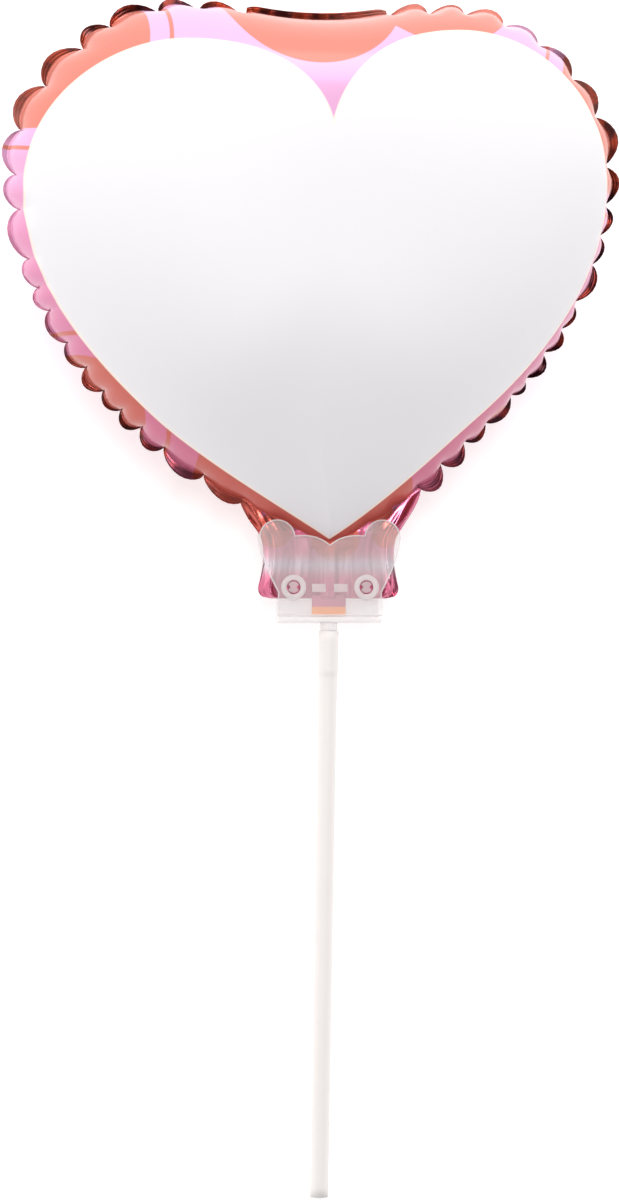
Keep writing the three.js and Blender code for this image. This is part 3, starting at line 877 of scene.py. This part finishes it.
tail_points, tail_faces = join_parts([tail_part(), neck_part()])
tail = add_piece("balloon_tail", tail_points, tail_faces, film, "foil_balloon", "printed_foil")
tail_y = tail_points[:, 1]
press = np.clip((CLIP_HALF + PRESS_MARGIN - np.abs(tail_points[:, 0])) / PRESS_FADE, 0, 1)
store_fields(tail, {
    **print_fields(tail_points, np.zeros(len(tail_points), bool), TAIL_DISCS, TAIL_RINGS),
    # The tail gets no painted flange shade.
    "flange_shade": np.zeros(len(tail_points)),
    "gold_end": (tail_y < NECK_END + GOLD_LENGTH).astype(float),
    "bare_metal": BARE_SHARE * np.exp(-(((tail_y - BARE_Y) / BARE_WIDE) ** 2)),
    "mirror": (tail_y > NECK_END + GOLD_LENGTH).astype(float),
    "pressed": press * (tail_y < PRESS_TOP_Y),
})

# %% [markdown]
# ## Clear plastic and straw plastic
#
# Both are moulded plastics that have been handled, with a faint haze that makes the gloss uneven.
# More than one material uses that haze, so it is a node group with its own inputs, made once.

# %% Handling haze group
HAZE_INPUTS = {"Scale": 90.0, "Smooth": 0.1, "Hazy": 0.3}
HAZE_DETAIL, HAZE_FROM, HAZE_TO = 4.0, 0.3, 0.7
PLASTIC_IOR, CLIP_HAZE_SCALE = 1.45, 70.0
STRAW_HAZE = (120.0, 0.3, 0.45)
STRAW_BUMP = {"Strength": 0.08, "Distance": 0.0003}


def haze_group():
    """Roughness that wanders between two values with a fine noise over the piece."""
    group = bpy.data.node_groups.new("handling_haze", "ShaderNodeTree")
    for name, value in HAZE_INPUTS.items():
        socket = group.interface.new_socket(name, in_out="INPUT", socket_type="NodeSocketFloat")
        socket.default_value = value
    for name in ("Roughness", "Height"):
        group.interface.new_socket(name, in_out="OUTPUT", socket_type="NodeSocketFloat")
    start, end = group.nodes.new("NodeGroupInput"), group.nodes.new("NodeGroupOutput")
    where = add_node(group, "ShaderNodeTexCoord").outputs["Object"]
    grain = {"Vector": where, "Scale": start.outputs["Scale"], "Detail": HAZE_DETAIL}
    noise = add_node(group, "ShaderNodeTexNoise", grain)
    gloss = (start.outputs["Smooth"], start.outputs["Hazy"])
    spread = map_range(group, noise.outputs["Fac"], (HAZE_FROM, HAZE_TO), gloss)
    group.links.new(spread, end.inputs["Roughness"])
    group.links.new(noise.outputs["Fac"], end.inputs["Height"])
    return group


haze = haze_group()


def use_haze(tree, scale, smooth, hazy):
    """Place the haze group in a material with its own values."""
    node = add_node(tree, "ShaderNodeGroup", node_tree=haze)
    for name, value in zip(HAZE_INPUTS, (scale, smooth, hazy)):
        node.inputs[name].default_value = value
    return node


def clear_plastic(name, tone, clear, milk, smooth, hazy):
    """Clear moulded plastic: plain transmission, a milky share on each face, gloss with haze."""
    material, tree, shader = new_material(name)
    marks = use_haze(tree, CLIP_HAZE_SCALE, smooth, hazy)
    set_input(tree, shader, "Roughness", marks.outputs["Roughness"])
    shader.inputs["Base Color"].default_value = tone
    shader.inputs["Transmission Weight"].default_value = clear
    shader.inputs["Alpha"].default_value = milk
    shader.inputs["IOR"].default_value = PLASTIC_IOR
    return material


def straw_plastic():
    """Thin milky plastic: satin gloss, faint drawing marks."""
    material, tree, shader = new_material("white_straw_plastic")
    marks = use_haze(tree, *STRAW_HAZE)
    bump = add_node(tree, "ShaderNodeBump", {"Height": marks.outputs["Height"], **STRAW_BUMP})
    set_input(tree, shader, "Roughness", marks.outputs["Roughness"])
    set_input(tree, shader, "Normal", bump.outputs["Normal"])
    shader.inputs["Base Color"].default_value = srgb(240, 234, 231)
    return material


clip_plastic = clear_plastic(
    "clear_clip_plastic", srgb(254, 252, 252), clear=0.2, milk=0.24, smooth=0.2, hazy=0.4
)
edge_plastic = clear_plastic(
    "frosted_clip_edges", srgb(252, 247, 247), clear=0.12, milk=0.5, smooth=0.3, hazy=0.45
)
straw_white = straw_plastic()
print("materials:", [material.name for material in bpy.data.materials])

# %% [markdown]
# ## The clip's plates
#
# Each plate is a flat outline with two round ears and a V between two humps, and the front one has
# holes. Blender's own flat curve fills an outline with holes and rounds its edges in one go, which
# a plain grid can't, so the plates start as curves and are made meshes straight away.

# %% Plates
PLATE_THICK, PLATE_INNER, PLATE_ROUND = 1.2, 1.2, 0.22
SNAP_X, SNAP_Y, EYELET_R, EYELET_HOLE_R, EYELET_RISE = 10.8, 10.5, 3.7, 2.05, 0.5
WINDOW_FROM, WINDOW_TO, WINDOW_LOW, WINDOW_HIGH = 1.2, 5.3, 9.1, 11.5
WELD_GAP = 1e-4


def flat_curve(outlines, low, high, rounding):
    """Fill outlines with holes, thicken from low to high, round and weld; give points and faces."""
    curve = bpy.data.curves.new("flat", "CURVE")
    curve.dimensions = "2D"
    curve.fill_mode = "BOTH"
    curve.extrude = (high - low) / 2 - rounding
    curve.bevel_depth = rounding
    curve.bevel_resolution = 2
    curve.offset = -rounding
    for outline in outlines:
        spline = curve.splines.new("POLY")
        spline.points.add(len(outline) - 1)
        flat = np.zeros((len(outline), 4))
        flat[:, :2] = outline
        spline.points.foreach_set("co", flat.ravel())
        spline.use_cyclic_u = True
    holder = bpy.data.objects.new("flat", curve)
    mesh = bpy.data.meshes.new_from_object(holder)
    shape = bmesh.new()
    shape.from_mesh(mesh)
    bmesh.ops.remove_doubles(shape, verts=shape.verts, dist=WELD_GAP)
    bmesh.ops.recalc_face_normals(shape, faces=shape.faces)
    shape.verts.index_update()
    points = np.array([vertex.co for vertex in shape.verts]) + [0, 0, (low + high) / 2]
    faces = [[vertex.index for vertex in face.verts] for face in shape.faces]
    shape.free()
    for data, store in ((holder, bpy.data.objects), (curve, bpy.data.curves), (mesh, bpy.data.meshes)):
        store.remove(data)
    return points, faces


def turned_part(profile, steps=48):
    """A closed profile of (radius, height), up the outside, carried round the z axis."""
    profile = np.asarray(profile, float)
    angle = np.arange(steps) / steps * 2 * np.pi
    x = profile[:, None, 0] * np.cos(angle)
    y = profile[:, None, 0] * np.sin(angle)
    z = profile[:, None, 1] + 0 * angle
    rings = len(profile)
    faces = band_faces(rings + 1, steps)[:, ::-1] % (rings * steps)
    return np.stack([x, y, z], axis=-1).reshape(-1, 3), faces.tolist()


def moved(part, shift):
    """The same part at another place."""
    return part[0] + np.asarray(shift, float), part[1]


window = np.array([
    (WINDOW_FROM, WINDOW_LOW), (WINDOW_TO, WINDOW_LOW),
    (WINDOW_TO, WINDOW_HIGH), (WINDOW_FROM, WINDOW_HIGH),
])
front_holes = [window, window * [-1, 1]]
front_holes += [arc(side * SNAP_X, SNAP_Y, EYELET_HOLE_R, 0, 2 * math.pi, 33)[:-1] for side in (-1, 1)]
plate_out = PLATE_INNER + PLATE_THICK
front_plate = flat_curve([clip_outline(PLATE_FOOT), *front_holes], PLATE_INNER, plate_out, PLATE_ROUND)
add_piece("clip_front", *front_plate, clip_plastic, "clip_front_plate", "clear_plastic")

# %% [markdown]
# ## Moulded edges
#
# The edge of a clear plate scatters light, and so it shows as a bright line. Here the mould also left
# a fine bead along the edge, a raised eyelet round each snap and a thin skin in each window. They
# get a milkier plastic than the plate itself, so they are a piece of their own.

# %% Bead, eyelets and window skins
BEAD_R, BEAD_SIDES = 0.22, 8
SKIN_LOW, SKIN_HIGH, SKIN_ROUND = 1.8, 2.2, 0.1
EYELET_LIFT, EYELET_ROUND, EYELET_FUNNEL = 0.02, 0.2, 0.25


def bead_part(path, radius, height):
    """A round bead along a closed flat path, just inside it: normal times cos, z times sin."""
    ahead = np.roll(path, -1, axis=0) - np.roll(path, 1, axis=0)
    ahead = ahead / np.hypot(*ahead.T)[:, None]
    outward = np.stack([ahead[:, 1], -ahead[:, 0]], axis=1)
    turn = np.arange(BEAD_SIDES) / BEAD_SIDES * 2 * np.pi
    flat = path[:, None, :] + outward[:, None, :] * (radius * np.cos(turn) - radius)[None, :, None]
    z = height + radius * np.sin(turn) + 0 * flat[..., 0]
    grid = np.concatenate([flat, z[..., None]], axis=-1)
    rings, columns = grid.shape[:2]
    faces = band_faces(rings + 1, columns) % (rings * columns)
    return grid.reshape(-1, 3), faces.tolist()


eyelet = turned_part([
    (EYELET_HOLE_R, EYELET_LIFT), (EYELET_R, EYELET_LIFT),
    (EYELET_R, EYELET_RISE - EYELET_ROUND), (EYELET_R - EYELET_ROUND, EYELET_RISE),
    (EYELET_HOLE_R + EYELET_FUNNEL, EYELET_RISE), (EYELET_HOLE_R, EYELET_RISE - EYELET_ROUND),
])
edge_parts = [moved(eyelet, (side * SNAP_X, SNAP_Y, plate_out)) for side in (-1, 1)]
edge_parts += [flat_curve([window * [s, 1]], SKIN_LOW, SKIN_HIGH, SKIN_ROUND) for s in (1, -1)]
edge_parts.append(bead_part(clip_outline(PLATE_FOOT), BEAD_R, plate_out))
add_piece("clip_edges", *join_parts(edge_parts), edge_plastic, "clip_front_plate", "clear_plastic")

# %% [markdown]
# ## Back plate, base bar and spigot
#
# The back plate carries everything else: the two split pins that snap into the eyelets, a milky pad
# behind the neck, the bar that closes the clip below, and the spigot for the straw. The bar is a
# rounded section carried along x, and the spigot is a profile turned round its axis.

# %% Clip back
BASE_HEIGHT, BASE_DEPTH, BASE_ROUND, END_FLAT = 1.8, 5.8, 0.7, 0.1
CORNER_STEPS, BAR_RINGS = 6, 14
PLATE_OVERLAP = 0.2
PIN_R, PIN_NOTCH_HALF, PIN_NOTCH_BOTTOM, PIN_SINK, PIN_ROUND = 1.7, 0.75, 0.85, 0.1, 0.15
COLLAR_R, COLLAR_LENGTH, COLLAR_ROUND, COLLAR_SINK = 2.5, 2.3, 0.15, 0.4
SHANK_R, SHANK_END, SHANK_CHAMFER, AXIS_R = 2.2, -14.0, 0.6, 0.01
STRAW_LEAN = math.radians(-1)
STRAW_TOP = -2.35
PAD_LOW, PAD_HIGH, PAD_INSET, PAD_TOP, PAD_GAP = -1.15, -0.85, 0.6, 6.9, 0.1


def pin_outline():
    """A round pin with a wedge cut from its left and right."""
    gap = math.asin(PIN_NOTCH_HALF / PIN_R)
    upper = arc(0, 0, PIN_R, gap, math.pi - gap, 12)
    lower = arc(0, 0, PIN_R, math.pi + gap, 2 * math.pi - gap, 12)
    return np.concatenate([upper, [[-PIN_NOTCH_BOTTOM, 0]], lower, [[PIN_NOTCH_BOTTOM, 0]]])


def bar_part():
    """A rounded rectangle in y and z carried along x, drawn in at both ends."""
    corner_y, corner_z = BASE_HEIGHT / 2 - BASE_ROUND, BASE_DEPTH / 2 - BASE_ROUND
    quarter = np.linspace(0, np.pi / 2, CORNER_STEPS)
    turns = np.concatenate([quarter + k * np.pi / 2 for k in range(4)])
    sign_y = np.repeat([1, -1, -1, 1], CORNER_STEPS)
    sign_z = np.repeat([-1, -1, 1, 1], CORNER_STEPS)
    swing = np.linspace(-np.pi / 2, np.pi / 2, BAR_RINGS)
    x = np.sign(swing) * (CLIP_HALF - BASE_ROUND) + BASE_ROUND * np.sin(swing)
    shrink = BASE_ROUND * np.maximum(np.cos(swing), END_FLAT)
    y = sign_y * corner_y + shrink[:, None] * np.cos(turns)
    z = sign_z * corner_z - shrink[:, None] * np.sin(turns)
    grid = np.stack([x[:, None] + 0 * y, y + BASE_HEIGHT / 2, z], axis=-1)
    rings, columns = grid.shape[:2]
    caps = [list(range(columns)), list(range((rings - 1) * columns, rings * columns))[::-1]]
    return grid.reshape(-1, 3), [*band_faces(rings, columns).tolist(), *caps]


def spigot_part():
    """Collar and shank turned round the straw's axis, which leans a degree."""
    points, faces = turned_part([
        (AXIS_R, SHANK_END), (SHANK_R - SHANK_CHAMFER, SHANK_END), (SHANK_R, SHANK_END + SHANK_CHAMFER),
        (SHANK_R, -COLLAR_LENGTH), (COLLAR_R - COLLAR_ROUND, -COLLAR_LENGTH),
        (COLLAR_R, -COLLAR_LENGTH + COLLAR_ROUND), (COLLAR_R, COLLAR_SINK), (AXIS_R, COLLAR_SINK),
    ])
    return lean(points[:, [1, 2, 0]], 0.0), faces


def lean(points, pivot):
    """Turn points in the plane of the heart about a pivot on the stick's line."""
    c, s = math.cos(STRAW_LEAN), math.sin(STRAW_LEAN)
    x, y = points[:, 0], points[:, 1] - pivot
    return np.stack([c * x - s * y, s * x + c * y + pivot, points[:, 2]], axis=1)


back_outline = clip_outline(BASE_HEIGHT - PLATE_OVERLAP)
back_plate = flat_curve([back_outline], -plate_out, -PLATE_INNER, PLATE_ROUND)
pin = flat_curve([pin_outline()], -PLATE_INNER - PIN_SINK, plate_out + EYELET_RISE / 2, PIN_ROUND)
pins = [moved(pin, (side * SNAP_X, SNAP_Y, 0)) for side in (-1, 1)]
pad_x = CLIP_HALF - PAD_INSET
pad_foot = BASE_HEIGHT + PAD_GAP
pad_outline = np.array([(-pad_x, pad_foot), (pad_x, pad_foot), (pad_x, PAD_TOP), (-pad_x, PAD_TOP)])
pad = flat_curve([pad_outline], PAD_LOW, PAD_HIGH, SKIN_ROUND)
add_piece("clip_back", *back_plate, clip_plastic, "clip_back_plate", "clear_plastic")
base_parts = [*pins, pad, bar_part(), spigot_part()]
add_piece("clip_base", *join_parts(base_parts), edge_plastic, "clip_back_plate", "clear_plastic")

# %% [markdown]
# ## The straw
#
# A drawn plastic tube with a thin wall, open at both ends. Its top is stretched where it was
# pushed over the spigot. The profile goes up the outside and down the inside, and is turned round
# the stick's axis, so the wall has its true thickness.

# %% Straw tube
STRAW_WALL, SLEEVE_R, SLEEVE_LENGTH, SLEEVE_TAPER = 0.38, 2.95, 11.7, 2.0
STRAW_RINGS, TAPER_RINGS, STRAW_SIDES = 60, 9, 64
END_SOFT = 0.1


def straw_part():
    """Radius along the straw: plain, then eased out to the sleeve; outside up, inside down."""
    y = np.linspace(STRAW_END, STRAW_TOP, STRAW_RINGS)
    y = np.sort(np.concatenate([y, STRAW_TOP - SLEEVE_LENGTH - np.linspace(0, SLEEVE_TAPER, TAPER_RINGS)]))
    t = np.clip((y - (STRAW_TOP - SLEEVE_LENGTH - SLEEVE_TAPER)) / SLEEVE_TAPER, 0, 1)
    radius = STRAW_R + (SLEEVE_R - STRAW_R) * t * t * (3 - 2 * t)
    outside = np.stack([radius, y], axis=1)
    inside = np.stack([radius - STRAW_WALL, y], axis=1)[::-1]
    outside[[0, -1], 0] -= END_SOFT
    points, faces = turned_part(np.concatenate([outside, inside]), STRAW_SIDES)
    return lean(points[:, [1, 2, 0]], STRAW_TOP), faces


add_piece("straw", *straw_part(), straw_white, "straw_stick", "white_straw")

# %% [markdown]
# ## Floor, light and world
#
# The balloon lies on a plain pale floor. Foil is only as good as what it mirrors: the film that
# faces the camera should see a darker ceiling and the sloping border a bright room, so the world is
# dim overhead and light towards the horizon. Soft boxes stand by the camera, at the top, the left
# and the right.

# %% Floor and light
FLOOR_HALF = 8.0
FLOOR_GLOW = 0.62
ROOM_LOW, ROOM_HIGH = 1.15, 0.14
DIM_FROM, DIM_FULL = 0.45, 0.9
ROOM_FOOT, ROOM_HEAD = 0.5, 1.2
AIM = (0, 0.06, 0.03)


def pale_floor():
    """A large plain square with a glow of its own, like a light table, which keeps shadows soft."""
    mesh = bpy.data.meshes.new("pale_floor")
    corners = [(-1, -1), (1, -1), (1, 1), (-1, 1)]
    mesh.from_pydata([(x * FLOOR_HALF, y * FLOOR_HALF, 0) for x, y in corners], [], [(0, 1, 2, 3)])
    material, tree, shader = new_material("pale_floor")
    shader.inputs["Base Color"].default_value = srgb(205, 205, 205)
    shader.inputs["Roughness"].default_value = 0.9
    shader.inputs["Specular IOR Level"].default_value = 0.1
    shader.inputs["Emission Color"].default_value = (1, 1, 1, 1)
    shader.inputs["Emission Strength"].default_value = FLOOR_GLOW
    mesh.materials.append(material)
    floor = bpy.data.objects.new("pale_floor", mesh)
    bpy.context.collection.objects.link(floor)


def soft_box(name, place, size, radiance):
    """A rectangular lamp aimed at the balloon; its power is radiance times area times pi."""
    data = bpy.data.lights.new(name, "AREA")
    data.shape = "RECTANGLE"
    data.size, data.size_y = size
    data.energy = radiance * size[0] * size[1] * math.pi
    lamp = bpy.data.objects.new(name, data)
    lamp.location = place
    lamp.rotation_euler = (Vector(AIM) - Vector(place)).to_track_quat("-Z", "Y").to_euler()
    lamp.visible_camera = False
    bpy.context.collection.objects.link(lamp)


def room_world():
    """Brightness by direction: light low down, dim overhead, and lighter at the top of the picture."""
    world = bpy.data.worlds.new("studio_room")
    bpy.context.scene.world = world
    world.use_nodes = True
    tree = world.node_tree
    where = add_node(tree, "ShaderNodeTexCoord").outputs["Generated"]
    split = add_node(tree, "ShaderNodeSeparateXYZ", {"Vector": where})
    high = ramp_mask(tree, split.outputs["Z"], DIM_FROM, DIM_FULL)
    level = mix_value(tree, high, ROOM_LOW, ROOM_HIGH)
    upward = map_range(tree, split.outputs["Y"], (-1.0, 1.0), (ROOM_FOOT, ROOM_HEAD))
    both = add_node(tree, "ShaderNodeMath", {0: level, 1: upward}, operation="MULTIPLY")
    tree.links.new(both.outputs["Value"], tree.nodes["Background"].inputs["Strength"])
    tree.nodes["Background"].inputs["Color"].default_value = (1, 1, 1, 1)


pale_floor()
soft_box("camera_box", (-0.2, 0.12, 1.8), (0.5, 0.5), 13.8)
soft_box("top_box", (0, 1.7, 1.3), (2.4, 1.1), 2.0)
soft_box("left_box", (-1.7, 0.3, 1.0), (0.8, 1.6), 1.0)
soft_box("right_box", (1.7, 0.3, 1.2), (0.8, 1.6), 0.8)
room_world()
bpy.context.scene.view_settings.view_transform = "Standard"
